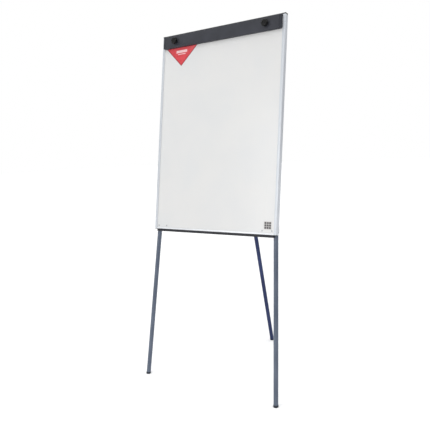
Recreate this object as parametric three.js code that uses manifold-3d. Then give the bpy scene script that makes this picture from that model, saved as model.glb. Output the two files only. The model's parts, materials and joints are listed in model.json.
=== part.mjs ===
// Flipchart easel: a framed dry-wipe board on two sliding front legs and a hinged, telescopic rear leg.
// Millimetres, +Z up, +X to the reader's right, +Y to the back. The floor is z = 0.
import * as THREE from 'three';
import Module from 'manifold-3d';
import { mergeVertices } from 'three/addons/utils/BufferGeometryUtils.js';

const wasm = await Module();
wasm.setup();

// ---- Driving dimensions ----
const GAP = 0.3; // clearance between pieces that touch
const OVERRUN = 1; // how far a cutting tool or a joined piece runs past a face
const LEAN = THREE.MathUtils.degToRad(9); // the board leans back from the vertical
const BOARD_WIDTH = 700;
const BOARD_HEIGHT = 1000;
const BOARD_RAISE = 765; // floor to the board's lower edge, along the lean
const HALF_WIDTH = BOARD_WIDTH / 2;

// Frame round the panel, depths counted back from the front face
const BEZEL = 15;
const FRAME_DEPTH = 22;
const WALL = 1.5;
const SHEET_FRONT = WALL + GAP;
const SHEET_THICKNESS = 0.6;
const CORE_THICKNESS = 6;
const BACK_THICKNESS = 0.5;
const PANEL_BACK = SHEET_FRONT + SHEET_THICKNESS + CORE_THICKNESS + BACK_THICKNESS + 2 * GAP;
const LIP_FRONT = PANEL_BACK + GAP; // the frame's rear lips start here
const LIP_BACK = LIP_FRONT + WALL;
const INNER_HALF = HALF_WIDTH - BEZEL;
const SIDE_LIP_INSET = 3; // the side frame's rear lip stops this far outside the bezel's edge
const SIDE_CORNER = 2;
const CAP_THICKNESS = 1.7;
const BOTTOM_LIP = 8;
const BOTTOM_BACK_LIP = 24;
const RAIL_SETBACK = 1; // dark rail behind the board's front face
const RAIL_DROP = 12.5; // dark rail below the board's lower edge
const TOP_RAIL_DEPTH = 20;
const TOP_RAIL_LIP = 15;
const TOP_RAIL_BACK_HEIGHT = 60;

// Paper clamp
const CLAMP_HEIGHT = 62;
const CLAMP_TOP = BOARD_HEIGHT - 9; // the top rail shows above the clamp bar
const CLAMP_BOTTOM = CLAMP_TOP - CLAMP_HEIGHT;
const CLAMP_FRONT = -14;
const CLAMP_BACK = 0.9;
const CLAMP_CAP = 10;
const CLAMP_CAP_CORNER = { top: 2, bottom: 6 }; // radii of the cap's outer corners, seen from the front
const CLAMP_BEND = 2.5;
const KNOB_SPREAD = 257.5; // each knob's distance from the middle
const KNOB_HEIGHT = (CLAMP_TOP + CLAMP_BOTTOM) / 2;
const KNOB_RADIUS = 17;
const KNOB_THICKNESS = 14;
const KNOB_LOBES = 8;
const KNOB_LOBE_DEPTH = 2.6;
const KNOB_CROWN = 3; // plastic over the stud's end
const KNOB_COLLAR = 4;
const KNOB_COLLAR_RADIUS = 9;
const STUD_RADIUS = 4;
const STUD_HOLE = 4.4;
const STUD_END = 18;
const WASHER_RADIUS = 10;
const WASHER_THICKNESS = 1.6;
const NUT_FLATS = 13;
const NUT_THICKNESS = 6.5;

// Rivets and stickers on the writing face
const RIVET_HEIGHT = 17;
const RIVET_INSETS = { outer: 26, inner: 75 };
const RIVET_RADIUS = 4;
const RIVET_SHANK = 2.2;
const RIVET_HOLE = 2.6;
const RIVET_DOME = { height: 1.4, shoulder: 1.1, shoulderRadius: 2.8 };
const STICKER_THICKNESS = 0.3;
const STICKER_HALF = 102;
const STICKER_CENTRE = -226;
const STICKER_TOP = CLAMP_BOTTOM + 7;
const LABEL = { left: 282, bottom: 23, width: 42, height: 38 };

// Front legs
const LEG_RADIUS = 11;
const TUBE_WALL = 1.2;
const LEG_INSET = 15; // leg axis to the board's outer side, at the lower edge
const LEG_DEPTH = 25; // leg axis behind the board's front face
const FOOT_OUTSET = 20; // each front foot stands outside the board's side
const LEG_HIDDEN = 440; // length of leg tube behind the board
const SPLAY = Math.atan((LEG_INSET + FOOT_OUTSET) / BOARD_RAISE);
const LEG_VISIBLE = BOARD_RAISE / Math.cos(SPLAY);
const GUIDE_FRONT = LIP_BACK + 2 * GAP;
const GUIDE_OUTER = 13.2;
const GUIDE_INNER = 24;
const GUIDE_BACK = 14;
const GUIDE_CORNER = 11;
const LOWER_GUIDE = { from: 8, height: 50 };
const UPPER_GUIDE = { from: 320, height: 30 };

// Thumb screws that lock the tubes
const LOCK_HEIGHT = 33;
const LOCK_STUD_RADIUS = 3;
const LOCK_KNOB_RADIUS = 13;
const LOCK_KNOB_THICKNESS = 12;
const LOCK_KNOB_LOBES = 5;
const LOCK_KNOB_LOBE_DEPTH = 4;
const LOCK_STUD_CLEARANCE = 0.45; // stud tip to the tube it locks
const LOCK_BORE_DEPTH = 8;

// Push-in feet and tube plugs
const FOOT_RADIUS = 12;
const FOOT_SHANK = 22;
const TUBE_LIFT = 8; // tube end above the floor, along the tube
const PLUG_LENGTH = 16;
const PLUG_FLANGE = 3;

// Rear leg
const PIVOT_HEIGHT = 955; // above the board's lower edge
const PIVOT_DEPTH = 45; // behind the board's front face
const REAR_REACH = 712; // rear foot behind the front feet
const REAR_TUBE_RADIUS = 12.7;
const REAR_TUBE_START = 26;
const REAR_TUBE_LENGTH = 870;
const REAR_INNER_START = 700;
const COLLAR_HEIGHT = 48;
const COLLAR_BELOW = 18; // collar below the upper tube's end
const COLLAR_RADIUS = 17;
const COLLAR_BOSS = 24;
const COLLAR_BOSS_HALF = 8;
const BRACKET_HALF = 20;
const BRACKET_THICKNESS = 2;
const BRACKET_HEIGHT = 44;
const BRACKET_EAR = 11; // ear beyond the pin's axis
const BRACKET_FLANGE = 34;
const BRACKET_RIVET_PLACE = 27;
const BRACKET_RIVET = { radius: 4, shoulderRadius: 2.8, shoulder: 1.6, height: 2 };
const HEAD_HALF = 15;
const HEAD_RADIUS = 12;
const HEAD_HEEL = { low: 2, high: 10 };
const HEAD_SPIGOT = 30;
const PIN_RADIUS = 4;
const PIN_HOLE = 4.4;
const PIN_HEAD = { radius: 6.5, thickness: 2.5 };
const PIN_TAIL = 4; // pin end beyond the bracket's ear
const CLIP = { radius: 7, thickness: 1.5 };

const ROUND = 32; // sides of a large round piece
const SMALL_ROUND = 16; // sides of a small round piece
const SIDES = [
  { name: 'left', sign: -1 },
  { name: 'right', sign: 1 },
];

// ---- Materials ----
const material = (color, roughness, metalness) => (
  new THREE.MeshStandardMaterial({ color, roughness, metalness })
);
const whiteEnamel = () => material(0xf0f0ee, 0.25, 0.0);
const whiteProfile = () => material(0xd9dde1, 0.35, 0.2);
const graphiteMetal = () => material(0x474a55, 0.5, 0.3);
const blueSteel = () => material(0x5a6a80, 0.4, 0.5);
const navySteel = () => material(0x36436a, 0.4, 0.5);
const blackPlastic = () => material(0x16171a, 0.5, 0.0);
const graphitePlastic = () => material(0x44464f, 0.6, 0.0);
const blackCoat = () => material(0x24252a, 0.5, 0.2);
const rubber = () => material(0x25272b, 0.8, 0.0);
const zincSteel = () => material(0xb4b7ba, 0.35, 0.9);
const cardboard = () => material(0xb59a72, 0.9, 0.0);
const redVinyl = () => material(0xc8404a, 0.4, 0.0);
const greyVinyl = () => material(0x8a8a86, 0.5, 0.0);

// ---- Solid helpers ----
function toSolid(geometry) {
  const bare = geometry.clone();
  bare.deleteAttribute('normal');
  bare.deleteAttribute('uv');
  const merged = mergeVertices(bare, 1e-4);
  const vertProperties = new Float32Array(merged.attributes.position.array);
  const triVerts = new Uint32Array(merged.index.array);
  return new wasm.Manifold(new wasm.Mesh({ numProp: 3, vertProperties, triVerts }));
}

function toGeometry(solid) {
  const mesh = solid.getMesh();
  const geometry = new THREE.BufferGeometry();
  geometry.setAttribute('position', new THREE.BufferAttribute(mesh.vertProperties, 3));
  geometry.setIndex(new THREE.BufferAttribute(mesh.triVerts, 1));
  geometry.computeVertexNormals();
  return geometry;
}

const join = (first, ...others) =>
  toGeometry(others.reduce((sum, other) => sum.add(toSolid(other)), toSolid(first)));

const cut = (body, ...tools) =>
  toGeometry(tools.reduce((rest, tool) => rest.subtract(toSolid(tool)), toSolid(body)));

const keepInside = (body, region) => toGeometry(toSolid(body).intersect(toSolid(region)));

// A block between two corners.
function block([x0, y0, z0], [x1, y1, z1]) {
  const geometry = new THREE.BoxGeometry(Math.abs(x1 - x0), Math.abs(y1 - y0), Math.abs(z1 - z0));
  return geometry.translate((x0 + x1) / 2, (y0 + y1) / 2, (z0 + z1) / 2);
}

// A prism of an outline in the XY plane, rising along +Z.
function prism(shape, length, curveSegments = 6) {
  return new THREE.ExtrudeGeometry(shape, { depth: length, bevelEnabled: false, curveSegments });
}

const outline = (points) => new THREE.Shape(points.map(([x, y]) => new THREE.Vector2(x, y)));

// Points round a circle, or the corners of a regular polygon.
const ringPoints = (radius, count) =>
  Array.from({ length: count }, (_, i) => {
    const angle = (2 * Math.PI * i) / count;
    return new THREE.Vector2(radius * Math.cos(angle), radius * Math.sin(angle));
  });

// A prism of an outline given as (depth, height) points, running along X between two places.
function bar(points, from, to) {
  const length = to - from;
  const geometry = prism(outline(points), length);
  geometry.rotateY(Math.PI / 2).rotateX(Math.PI / 2); // the outline's x becomes depth, its y becomes height
  return geometry.translate(from, 0, 0);
}

// A turned piece about Z, from (radius, height) points that close on themselves or end on the axis.
function turned(points, sides = ROUND) {
  const profile = points.map(([radius, height]) => new THREE.Vector2(radius, height));
  return new THREE.LatheGeometry(profile, sides).rotateX(Math.PI / 2);
}

const tube = (outer, inner, from, to, sides = ROUND) =>
  turned([[inner, from], [outer, from], [outer, to], [inner, to], [inner, from]], sides);

const rod = (radius, from, to, sides = SMALL_ROUND) =>
  turned([[0, from], [radius, from], [radius, to], [0, to]], sides);

// A round tool along Y, for holes through the board.
const boreThroughBoard = (radius, x, z) =>
  rod(radius, -FRAME_DEPTH * 2, FRAME_DEPTH * 2).rotateX(Math.PI / 2).translate(x, 0, z);

// A grip outline with shallow lobes.
function lobedOutline(radius, lobes, depth, pointsPerLobe = 6) {
  const count = lobes * pointsPerLobe;
  const points = Array.from({ length: count }, (_, i) => {
    const angle = (2 * Math.PI * i) / count;
    const reach = radius - (depth / 2) * (1 - Math.cos(lobes * angle));
    return [reach * Math.cos(angle), reach * Math.sin(angle)];
  });
  return outline(points);
}

function addPiece(parent, name, geometry, pieceMaterial) {
  const mesh = new THREE.Mesh(geometry, pieceMaterial);
  mesh.name = name;
  parent.add(mesh);
  return mesh;
}

// ---- Groups that carry the frames of reference ----
const easel = new THREE.Group();

// Board frame: origin at the middle of the lower edge on the front face, +Z up the board, +Y to its back.
const board = new THREE.Group();
board.rotation.x = -LEAN;
board.position.y = BOARD_RAISE * Math.sin(LEAN) - LEG_DEPTH * Math.cos(LEAN);
board.position.z = BOARD_RAISE * Math.cos(LEAN) + LEG_DEPTH * Math.sin(LEAN);
easel.add(board);

// Leg frame: origin where the leg axis crosses the board's lower edge, -Z down the leg.
function legFrame(sign) {
  const frame = new THREE.Group();
  frame.position.set(sign * (HALF_WIDTH - LEG_INSET), LEG_DEPTH, 0);
  frame.rotation.y = -sign * SPLAY;
  board.add(frame);
  return frame;
}

// Rear leg frame: origin at the hinge pin, -Z down the leg.
const rear = new THREE.Group();
rear.position.set(0, PIVOT_DEPTH, PIVOT_HEIGHT);
board.add(rear);
easel.updateMatrixWorld(true);
const pivot = new THREE.Vector3().setFromMatrixPosition(rear.matrixWorld);
const REAR_LENGTH = Math.hypot(REAR_REACH - pivot.y, pivot.z);
rear.rotation.x = LEAN + Math.atan2(REAR_REACH - pivot.y, pivot.z);

// ---- Board ----
function panelHoles() {
  const holes = [];
  for (const { sign } of SIDES) {
    holes.push(boreThroughBoard(STUD_HOLE, sign * KNOB_SPREAD, KNOB_HEIGHT));
    for (const inset of Object.values(RIVET_INSETS)) {
      holes.push(boreThroughBoard(RIVET_HOLE, sign * (HALF_WIDTH - inset), RIVET_HEIGHT));
    }
  }
  return holes;
}

function addPanel() {
  const half = HALF_WIDTH - WALL - GAP;
  const low = WALL + GAP;
  const high = BOARD_HEIGHT - WALL - GAP;
  const coreFront = SHEET_FRONT + SHEET_THICKNESS + GAP;
  const backFront = coreFront + CORE_THICKNESS + GAP;
  const layer = (front, thickness) =>
    cut(block([-half, front, low], [half, front + thickness, high]), ...panelHoles());
  addPiece(board, 'writing_sheet', layer(SHEET_FRONT, SHEET_THICKNESS), whiteEnamel());
  addPiece(board, 'panel_core', layer(coreFront, CORE_THICKNESS), cardboard());
  addPiece(board, 'back_sheet', layer(backFront, BACK_THICKNESS), zincSteel());
}

// Side section: a front bezel, a deep outer wall and a lip behind the panel.
function sideSection(sign) {
  const shape = new THREE.Shape();
  const lipEnd = sign * (INNER_HALF + SIDE_LIP_INSET);
  shape.moveTo(sign * INNER_HALF, 0);
  shape.lineTo(sign * (HALF_WIDTH - SIDE_CORNER), 0);
  shape.quadraticCurveTo(sign * HALF_WIDTH, 0, sign * HALF_WIDTH, SIDE_CORNER);
  shape.lineTo(sign * HALF_WIDTH, FRAME_DEPTH);
  shape.lineTo(sign * (HALF_WIDTH - WALL), FRAME_DEPTH);
  shape.lineTo(sign * (HALF_WIDTH - WALL), LIP_BACK);
  shape.lineTo(lipEnd, LIP_BACK);
  shape.lineTo(lipEnd, LIP_FRONT);
  shape.lineTo(sign * (HALF_WIDTH - WALL), LIP_FRONT);
  shape.lineTo(sign * (HALF_WIDTH - WALL), WALL);
  shape.lineTo(sign * INNER_HALF, WALL);
  return shape;
}

function addSideProfiles() {
  const length = BOARD_HEIGHT - CAP_THICKNESS - GAP;
  for (const { name, sign } of SIDES) {
    addPiece(board, `side_profile_${name}`, prism(sideSection(sign), length), whiteProfile());
    const inner = sign * INNER_HALF;
    const outer = sign * HALF_WIDTH;
    const topCap = block([inner, 0, length + GAP], [outer, FRAME_DEPTH, BOARD_HEIGHT]);
    addPiece(board, `top_end_cap_${name}`, topCap, blackPlastic());
    const bottomCap = block([inner, 0, -GAP - CAP_THICKNESS], [outer, LIP_BACK, -GAP]);
    addPiece(board, `bottom_end_cap_${name}`, bottomCap, blackPlastic());
  }
}

function addCrossProfiles() {
  const half = INNER_HALF - GAP;
  const bottomSection = [
    [0, 0], [LIP_BACK, 0], [LIP_BACK, BOTTOM_BACK_LIP], [LIP_FRONT, BOTTOM_BACK_LIP],
    [LIP_FRONT, WALL], [WALL, WALL], [WALL, BOTTOM_LIP], [0, BOTTOM_LIP],
  ];
  const rivetHoles = panelHoles();
  const bottom = cut(bar(bottomSection, -half, half), ...rivetHoles);
  addPiece(board, 'bottom_profile', bottom, whiteProfile());

  const railTop = -GAP;
  const front = RAIL_SETBACK;
  const railSection = [
    [front, railTop], [front, -RAIL_DROP], [front + WALL, -RAIL_DROP], [front + WALL, railTop - WALL],
    [LIP_BACK - WALL, railTop - WALL], [LIP_BACK - WALL, -RAIL_DROP],
    [LIP_BACK, -RAIL_DROP], [LIP_BACK, railTop],
  ];
  addPiece(board, 'bottom_rail', bar(railSection, -half, half), blackCoat());

  const top = BOARD_HEIGHT;
  const topSection = [
    [0, top], [0, top - TOP_RAIL_LIP], [WALL, top - TOP_RAIL_LIP], [WALL, top - WALL],
    [TOP_RAIL_DEPTH - WALL, top - WALL], [TOP_RAIL_DEPTH - WALL, top - TOP_RAIL_BACK_HEIGHT],
    [TOP_RAIL_DEPTH, top - TOP_RAIL_BACK_HEIGHT], [TOP_RAIL_DEPTH, top],
  ];
  addPiece(board, 'top_rail', bar(topSection, -half, half), blackCoat());
}

// A domed rivet with its shank through the panel.
function addCornerRivets() {
  const shank = LIP_BACK - SHEET_FRONT;
  const profile = [
    [0, 0], [RIVET_SHANK, 0], [RIVET_SHANK, shank], [RIVET_RADIUS, shank],
    [RIVET_DOME.shoulderRadius, shank + RIVET_DOME.shoulder], [0, shank + RIVET_DOME.height],
  ];
  for (const { name, sign } of SIDES) {
    for (const [place, inset] of Object.entries(RIVET_INSETS)) {
      const rivetName = `corner_rivet_${name}_${place}`;
      const rivet = addPiece(board, rivetName, turned(profile, SMALL_ROUND), zincSteel());
      rivet.rotation.x = Math.PI / 2;
      rivet.position.set(sign * (HALF_WIDTH - inset), LIP_BACK - GAP, RIVET_HEIGHT);
    }
  }
}

function addStickers() {
  const back = SHEET_FRONT - GAP;
  const front = back - STICKER_THICKNESS;
  const triangle = outline([[-STICKER_HALF, 0], [0, -STICKER_HALF], [STICKER_HALF, 0]]);
  const sticker = addPiece(board, 'corner_sticker', prism(triangle, STICKER_THICKNESS), redVinyl());
  sticker.rotation.x = Math.PI / 2;
  sticker.position.set(STICKER_CENTRE, back, STICKER_TOP);
  const right = LABEL.left + LABEL.width;
  const label = block([LABEL.left, front, LABEL.bottom], [right, back, LABEL.bottom + LABEL.height]);
  addPiece(board, 'square_label', label, greyVinyl());
}

// ---- Paper clamp ----
function addClamp() {
  const half = INNER_HALF - 2 * GAP;
  const inner = half - CLAMP_CAP;
  const topFlangeBack = -GAP;
  const bend = CLAMP_BEND;
  const section = [
    [topFlangeBack, CLAMP_TOP], [CLAMP_FRONT + bend, CLAMP_TOP], [CLAMP_FRONT, CLAMP_TOP - bend],
    [CLAMP_FRONT, CLAMP_BOTTOM + bend], [CLAMP_FRONT + bend, CLAMP_BOTTOM], [CLAMP_BACK, CLAMP_BOTTOM],
    [CLAMP_BACK, CLAMP_BOTTOM + WALL], [CLAMP_FRONT + bend, CLAMP_BOTTOM + WALL],
    [CLAMP_FRONT + WALL, CLAMP_BOTTOM + bend + WALL / 2], [CLAMP_FRONT + WALL, CLAMP_TOP - bend - WALL / 2],
    [CLAMP_FRONT + bend, CLAMP_TOP - WALL], [topFlangeBack, CLAMP_TOP - WALL],
  ];
  const holes = SIDES.map(({ sign }) => boreThroughBoard(STUD_HOLE, sign * KNOB_SPREAD, KNOB_HEIGHT));
  addPiece(board, 'clamp_bar', cut(bar(section, -inner, inner), ...holes), graphiteMetal());
  for (const { name, sign } of SIDES) {
    const corner = CLAMP_CAP_CORNER;
    const start = sign * (inner + GAP);
    const end = sign * half;
    const shape = new THREE.Shape();
    shape.moveTo(start, CLAMP_BOTTOM);
    shape.lineTo(end - sign * corner.bottom, CLAMP_BOTTOM);
    shape.quadraticCurveTo(end, CLAMP_BOTTOM, end, CLAMP_BOTTOM + corner.bottom);
    shape.lineTo(end, CLAMP_TOP - corner.top);
    shape.quadraticCurveTo(end, CLAMP_TOP, end - sign * corner.top, CLAMP_TOP);
    shape.lineTo(start, CLAMP_TOP);
    const blank = prism(shape, topFlangeBack - CLAMP_FRONT);
    const cap = blank.rotateX(Math.PI / 2).translate(0, topFlangeBack, 0);
    addPiece(board, `clamp_end_cap_${name}`, cap, graphitePlastic());
  }
}

function addClampKnobs() {
  const knobBase = -CLAMP_FRONT + WASHER_THICKNESS + 2 * GAP;
  const knobTop = knobBase + KNOB_COLLAR + KNOB_THICKNESS;
  const boreTop = knobTop - KNOB_CROWN;
  const gripOutline = lobedOutline(KNOB_RADIUS, KNOB_LOBES, KNOB_LOBE_DEPTH);
  const grip = prism(gripOutline, KNOB_THICKNESS).translate(0, 0, knobBase + KNOB_COLLAR);
  const collar = rod(KNOB_COLLAR_RADIUS, knobBase, knobBase + KNOB_COLLAR + OVERRUN, ROUND);
  const knob = cut(join(grip, collar), rod(STUD_RADIUS + GAP, knobBase - OVERRUN, boreTop));
  const washerBase = -CLAMP_FRONT + GAP;
  const washer = tube(WASHER_RADIUS, STUD_HOLE, washerBase, washerBase + WASHER_THICKNESS);
  const nutCorner = NUT_FLATS / 2 / Math.cos(Math.PI / 6);
  const nutBlank = prism(new THREE.Shape(ringPoints(nutCorner, 6)), NUT_THICKNESS);
  const nutGeometry = cut(nutBlank, rod(STUD_RADIUS + GAP, -OVERRUN, NUT_THICKNESS + OVERRUN));
  for (const { name, sign } of SIDES) {
    const axis = new THREE.Group();
    axis.rotation.x = Math.PI / 2; // +Z now points out of the front face
    axis.position.set(sign * KNOB_SPREAD, 0, KNOB_HEIGHT);
    board.add(axis);
    addPiece(axis, `knob_${name}`, knob, blackPlastic());
    addPiece(axis, `knob_stud_${name}`, rod(STUD_RADIUS, -STUD_END, boreTop - GAP), zincSteel());
    addPiece(axis, `knob_washer_${name}`, washer, blackPlastic());
    const nut = addPiece(axis, `stud_nut_${name}`, nutGeometry, zincSteel());
    nut.position.z = -PANEL_BACK - GAP - NUT_THICKNESS;
  }
}

// ---- Front legs ----
// Guide block round the leg: flat against the board, thin on the outside, with a boss for the screw inboard.
function guideShape(sign) {
  const front = GUIDE_FRONT - LEG_DEPTH;
  const outer = sign * GUIDE_OUTER;
  const inner = -sign * GUIDE_INNER;
  const shape = new THREE.Shape();
  shape.moveTo(inner, front);
  shape.lineTo(outer, front);
  shape.lineTo(outer, GUIDE_BACK - GUIDE_CORNER);
  shape.quadraticCurveTo(outer, GUIDE_BACK, outer - sign * GUIDE_CORNER, GUIDE_BACK);
  shape.lineTo(inner + sign * GUIDE_CORNER, GUIDE_BACK);
  shape.quadraticCurveTo(inner, GUIDE_BACK, inner, GUIDE_BACK - GUIDE_CORNER);
  return shape;
}

// A tool or piece along X, starting at the tube's surface and pointing away from it.
const pointingSideways = (geometry, sign) => geometry.rotateY((sign * Math.PI) / 2);

// Thumb screw: a lobed grip with a blind bore, and a stud whose tip stops short of the tube.
function addLockScrew(frame, label, sign, height, seat) {
  const boreTop = seat + LOCK_BORE_DEPTH;
  const gripOutline = lobedOutline(LOCK_KNOB_RADIUS, LOCK_KNOB_LOBES, LOCK_KNOB_LOBE_DEPTH);
  const grip = prism(gripOutline, LOCK_KNOB_THICKNESS).translate(0, 0, seat);
  const bored = cut(grip, rod(LOCK_STUD_RADIUS + GAP, seat - OVERRUN, boreTop));
  const axis = new THREE.Group();
  axis.rotation.y = (sign * Math.PI) / 2;
  axis.position.z = height;
  frame.add(axis);
  addPiece(axis, `${label}_lock_knob`, bored, blackPlastic());
  const stud = rod(LOCK_STUD_RADIUS, LEG_RADIUS + LOCK_STUD_CLEARANCE, boreTop - GAP);
  addPiece(axis, `${label}_lock_stud`, stud, zincSteel());
}

// Push-in foot: a shank in the tube's end and a pad trimmed flat where it meets the floor.
function addFoot(name, axisFrame, floorDistance) {
  const low = -floorDistance - FOOT_RADIUS;
  const shoulder = -floorDistance + TUBE_LIFT - GAP;
  const shankTop = shoulder + FOOT_SHANK;
  const shank = LEG_RADIUS - TUBE_WALL - GAP;
  const foot = turned([
    [0, low], [FOOT_RADIUS, low], [FOOT_RADIUS, shoulder],
    [shank, shoulder], [shank, shankTop], [0, shankTop],
  ]);
  easel.updateMatrixWorld(true);
  foot.applyMatrix4(axisFrame.matrixWorld);
  const reach = REAR_REACH * 2;
  const aboveFloor = block([-reach, -reach, 0], [reach, reach, reach]);
  addPiece(easel, name, keepInside(foot, aboveFloor), rubber());
}

// A plug that closes the upper end of a tube whose end is at z = end.
function tubePlug(end, tubeRadius) {
  const shank = tubeRadius - TUBE_WALL - GAP;
  const seat = end + GAP;
  const top = end + PLUG_FLANGE;
  const low = end - PLUG_LENGTH;
  return turned([[0, low], [shank, low], [shank, seat], [tubeRadius, seat], [tubeRadius, top], [0, top]]);
}

// A tool for the lock screw's hole, from inside the tube's bore to beyond its boss.
const screwTool = (bossEnd) => rod(LOCK_STUD_RADIUS + GAP, LOCK_STUD_RADIUS, bossEnd + OVERRUN);

function addFrontLegs() {
  for (const { name, sign } of SIDES) {
    const frame = legFrame(sign);
    const shape = guideShape(sign);
    const screwHole = pointingSideways(screwTool(GUIDE_INNER), -sign);
    screwHole.translate(0, 0, LOCK_HEIGHT);
    const guideBore = rod(LEG_RADIUS + GAP, 0, LEG_HIDDEN, ROUND);
    const lowerBlank = prism(shape, LOWER_GUIDE.height).translate(0, 0, LOWER_GUIDE.from);
    addPiece(frame, `lower_guide_${name}`, cut(lowerBlank, guideBore, screwHole), blackPlastic());
    const upperBlank = prism(shape, UPPER_GUIDE.height).translate(0, 0, UPPER_GUIDE.from);
    addPiece(frame, `upper_guide_${name}`, cut(upperBlank, guideBore), blackPlastic());
    addLockScrew(frame, `leg_${name}`, -sign, LOCK_HEIGHT, GUIDE_INNER + GAP * 2);
    const legTube = tube(LEG_RADIUS, LEG_RADIUS - TUBE_WALL, -LEG_VISIBLE + TUBE_LIFT, LEG_HIDDEN);
    addPiece(frame, `leg_tube_${name}`, legTube, blueSteel());
    addPiece(frame, `leg_plug_${name}`, tubePlug(LEG_HIDDEN, LEG_RADIUS), blackPlastic());
    addFoot(`foot_${name}`, frame, LEG_VISIBLE);
  }
}

// ---- Rear leg ----
function addHingeBracket() {
  const base = TOP_RAIL_DEPTH + GAP;
  const earEnd = PIVOT_DEPTH + BRACKET_EAR;
  const inner = BRACKET_HALF - BRACKET_THICKNESS;
  const half = [
    [BRACKET_FLANGE, base], [BRACKET_FLANGE, base + BRACKET_THICKNESS],
    [BRACKET_HALF, base + BRACKET_THICKNESS],
    [BRACKET_HALF, earEnd], [inner, earEnd], [inner, base + BRACKET_THICKNESS],
  ];
  const mirrored = half.map(([x, y]) => [-x, y]).reverse();
  const low = PIVOT_HEIGHT - BRACKET_HEIGHT / 2;
  const sheet = prism(outline([...half, ...mirrored]), BRACKET_HEIGHT - GAP).translate(0, 0, low);
  const pinHole = rod(PIN_HOLE, -BRACKET_FLANGE, BRACKET_FLANGE).rotateY(Math.PI / 2);
  pinHole.translate(0, PIVOT_DEPTH, PIVOT_HEIGHT);
  addPiece(board, 'hinge_bracket', cut(sheet, pinHole), graphiteMetal());
  const { radius, shoulderRadius, shoulder, height } = BRACKET_RIVET;
  const rivetHead = turned([[0, 0], [radius, 0], [shoulderRadius, shoulder], [0, height]], SMALL_ROUND);
  for (const { name, sign } of SIDES) {
    const rivet = addPiece(board, `bracket_rivet_${name}`, rivetHead, zincSteel());
    rivet.rotation.x = -Math.PI / 2;
    rivet.position.set(sign * BRACKET_RIVET_PLACE, base + BRACKET_THICKNESS + GAP, PIVOT_HEIGHT);
  }
}

function addHingePin() {
  const seat = BRACKET_HALF + GAP;
  const headEnd = -seat - PIN_HEAD.thickness;
  const tail = seat + PIN_TAIL;
  const profile = [
    [0, headEnd], [PIN_HEAD.radius, headEnd], [PIN_HEAD.radius, -seat], [PIN_RADIUS, -seat],
    [PIN_RADIUS, tail], [0, tail],
  ];
  const pinAxis = new THREE.Group();
  pinAxis.rotation.y = Math.PI / 2;
  pinAxis.position.set(0, PIVOT_DEPTH, PIVOT_HEIGHT);
  board.add(pinAxis);
  addPiece(pinAxis, 'hinge_pin', turned(profile, SMALL_ROUND), zincSteel());
  const clip = tube(CLIP.radius, PIN_HOLE, seat, seat + CLIP.thickness, SMALL_ROUND);
  addPiece(pinAxis, 'hinge_pin_clip', clip, zincSteel());
}

// Head of the rear leg: an eye round the pin, a heel that stops on the bracket, and a spigot in the tube.
function addRearHead() {
  const heelReach = PIVOT_DEPTH - TOP_RAIL_DEPTH - BRACKET_THICKNESS - 2 * GAP;
  const heel = block([-HEAD_HALF, -heelReach, HEAD_HEEL.low], [HEAD_HALF, 0, HEAD_HEEL.high]);
  heel.rotateX(-rear.rotation.x); // square to the board when the leg is open
  const eye = rod(HEAD_RADIUS, -HEAD_HALF, HEAD_HALF, ROUND).rotateY(Math.PI / 2);
  const neck = block([-HEAD_HALF, -HEAD_RADIUS, -REAR_TUBE_START + GAP], [HEAD_HALF, HEAD_RADIUS, 0]);
  const spigotRadius = REAR_TUBE_RADIUS - TUBE_WALL - GAP;
  const spigot = rod(spigotRadius, -REAR_TUBE_START - HEAD_SPIGOT, -REAR_TUBE_START + OVERRUN, ROUND);
  const pinHole = rod(PIN_HOLE, -BRACKET_HALF, BRACKET_HALF).rotateY(Math.PI / 2);
  addPiece(rear, 'rear_leg_head', cut(join(eye, heel, neck, spigot), pinHole), blackPlastic());
}

// Collar: a ring over both tubes with a stepped bore, and a boss for the lock screw.
function addRearCollar(outerEnd) {
  const low = outerEnd - COLLAR_BELOW;
  const high = low + COLLAR_HEIGHT;
  const seat = outerEnd - GAP;
  const bossHeight = (low + outerEnd) / 2;
  const ring = rod(COLLAR_RADIUS, low, high, ROUND);
  const halfBoss = COLLAR_BOSS_HALF;
  const boss = block([0, -halfBoss, bossHeight - halfBoss], [COLLAR_BOSS, halfBoss, bossHeight + halfBoss]);
  const narrowBore = rod(LEG_RADIUS + GAP, low - OVERRUN, seat + OVERRUN, ROUND);
  const wideBore = rod(REAR_TUBE_RADIUS + GAP, seat, high + OVERRUN, ROUND);
  const screwHole = pointingSideways(screwTool(COLLAR_BOSS), 1).translate(0, 0, bossHeight);
  addPiece(rear, 'rear_collar', cut(join(ring, boss), narrowBore, wideBore, screwHole), blackPlastic());
  addLockScrew(rear, 'rear_leg', 1, bossHeight, COLLAR_BOSS + GAP * 2);
}

function addRearTubes() {
  const outerEnd = -REAR_TUBE_START - REAR_TUBE_LENGTH;
  const outer = tube(REAR_TUBE_RADIUS, REAR_TUBE_RADIUS - TUBE_WALL, outerEnd, -REAR_TUBE_START);
  addPiece(rear, 'rear_upper_tube', outer, navySteel());
  addRearCollar(outerEnd);
  const inner = tube(LEG_RADIUS, LEG_RADIUS - TUBE_WALL, -REAR_LENGTH + TUBE_LIFT, -REAR_INNER_START);
  addPiece(rear, 'rear_lower_tube', inner, navySteel());
  addPiece(rear, 'rear_tube_plug', tubePlug(-REAR_INNER_START, LEG_RADIUS), blackPlastic());
  addFoot('foot_rear', rear, REAR_LENGTH);
}

addPanel();
addSideProfiles();
addCrossProfiles();
addCornerRivets();
addStickers();
addClamp();
addClampKnobs();
addFrontLegs();
addHingeBracket();
addHingePin();
addRearHead();
addRearTubes();

// The origin is the point of the floor under the middle of the whole easel.
const extent = new THREE.Box3().setFromObject(easel, true);
easel.position.y = -(extent.min.y + extent.max.y) / 2;

export default easel;
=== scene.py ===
"""Looks of a flipchart easel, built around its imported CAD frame.

Local shapes are written in millimetres, in the same local frames as the CAD: the board frame (x, depth
to the back, height up the board) and one frame per leg (its axis is Z). All is scaled to metres once.
"""

import json
import math

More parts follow.
